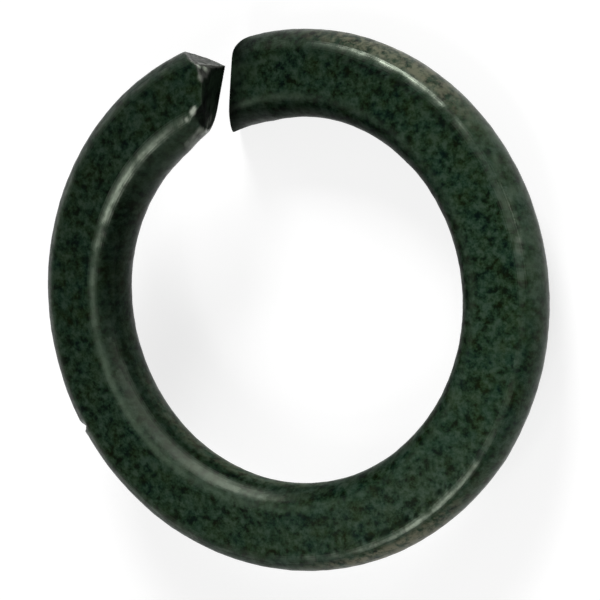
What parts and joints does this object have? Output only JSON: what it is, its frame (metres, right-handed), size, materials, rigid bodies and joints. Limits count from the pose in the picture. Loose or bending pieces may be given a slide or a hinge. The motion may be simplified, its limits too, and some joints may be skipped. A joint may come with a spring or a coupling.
{
  "type": "spring lock washer",
  "caption": "Split ring of flattened wire coiled to a single left-hand turn, its sheared ends sprung apart along the axis, with a round hole for a bolt.",
  "frame": {"origin": "on the hole's axis, halfway up the washer as it stands sprung", "axes": "+Z along the hole's axis, away from the surface it lies on; the split lies just left of +Y, seen from +Z"},
  "size_m": [0.0242, 0.0242, 0.0061],
  "materials": {
    "black_oxide_steel": "dark green-black oxide, rubbed paler along the edges and bare grey where the ends were sheared"
  },
  "bodies": {
    "root": {"split_ring": "black_oxide_steel"}
  },
  "joints": []
}
